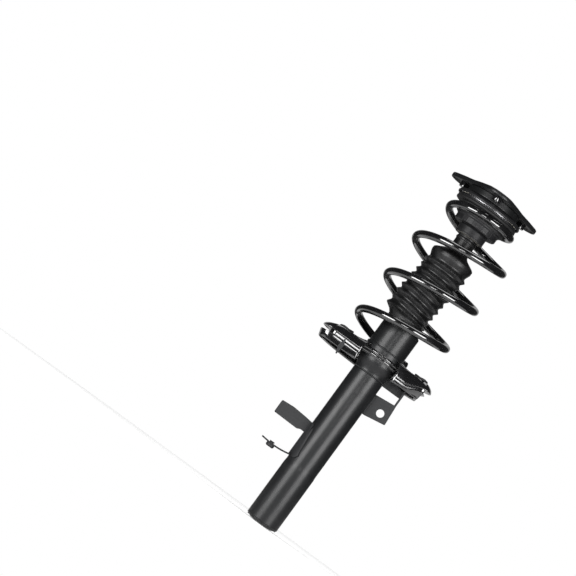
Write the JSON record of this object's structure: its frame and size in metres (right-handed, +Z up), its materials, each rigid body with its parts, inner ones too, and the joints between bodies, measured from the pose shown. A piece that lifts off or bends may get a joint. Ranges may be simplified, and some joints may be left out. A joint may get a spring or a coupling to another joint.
{
  "type": "strut assembly",
  "caption": "Suspension strut with coil spring, dust boot, stamped spring seats, link and hose brackets, and a three-lobed bearing top mount; compresses and steers.",
  "frame": {"origin": "on the damper's axis at the lower edge of the outer tube, where the knuckle's clamp ends", "axes": "+Z up the damper's axis towards the top mount, -Y towards the wheel (the side that the link and hose brackets face), +X towards the link bracket"},
  "size_m": [0.1846, 0.1735, 0.5855],
  "materials": {
    "tube_paint": "satin black",
    "gloss_coat": "gloss black powder coat",
    "bracket_coat": "matte dark grey coat",
    "boot_rubber": "matte",
    "isolator_rubber": "matte",
    "stop_foam": "closed-cell foam",
    "seat_plastic": "fine grain",
    "rod_chrome": "hard chrome",
    "zinc_steel": "zinc plated",
    "bare_steel": "drawn steel",
    "bearing_steel": "ground",
    "cage_plastic": "natural nylon",
    "bush_bronze": "bronze-lined"
  },
  "bodies": {
    "strut": {"reservoir_tube": "tube_paint", "base_cup": "tube_paint", "base_valve": "bare_steel", "pressure_tube": "bare_steel", "rod_guide": "bare_steel", "rod_guide_bush": "bush_bronze", "oil_seal": "isolator_rubber", "striker_cap": "seat_plastic", "lower_spring_seat": "gloss_coat", "seat_collar": "gloss_coat", "seat_clip": "bracket_coat", "lower_isolator": "isolator_rubber", "link_bracket": "bracket_coat", "hose_bracket": "bracket_coat", "hose_button": "bracket_coat", "coil_spring": "gloss_coat"},
    "upper_seat": {"dust_boot": "boot_rubber", "bump_stop": "stop_foam", "bump_stop_cup": "seat_plastic", "upper_spring_seat": "seat_plastic", "upper_isolator": "isolator_rubber", "bearing_lower_race": "bearing_steel"},
    "bearing": {"bearing_cage": "cage_plastic", "bearing_balls": "bearing_steel"},
    "top_mount": {"bearing_upper_race": "bearing_steel", "bearing_cover": "seat_plastic", "mount_can": "tube_paint", "mount_rubber": "isolator_rubber", "mount_sleeve": "bare_steel", "clamp_washer": "zinc_steel", "mount_plate": "tube_paint", "weld_nuts": "zinc_steel", "rod_nut": "zinc_steel", "piston_rod": "rod_chrome", "rebound_bumper": "isolator_rubber", "rebound_stop": "bare_steel", "piston": "bare_steel", "piston_band": "cage_plastic", "piston_nut": "zinc_steel"}
  },
  "joints": [
    {"name": "damper_stroke", "type": "slide", "parent": "strut", "child": "upper_seat", "axis": [0, 0, -1], "range_m": [0, 0.1], "stiffness_N_per_m": 25000, "springref_m": -0.001, "deforming": ["coil_spring", "dust_boot"]},
    {"name": "steer", "type": "hinge", "parent": "upper_seat", "child": "top_mount", "pos_m": [0, 0, 0.552], "axis": [0, 0, 1], "range_deg": [-40, 40]},
    {"name": "bearing_roll", "type": "hinge", "parent": "upper_seat", "child": "bearing", "pos_m": [0, 0, 0.552], "axis": [0, 0, 1], "range_deg": [-20, 20]}
  ],
  "couplings": [
    {"joint": "bearing_roll", "follows": "steer", "ratio": 0.5}
  ]
}
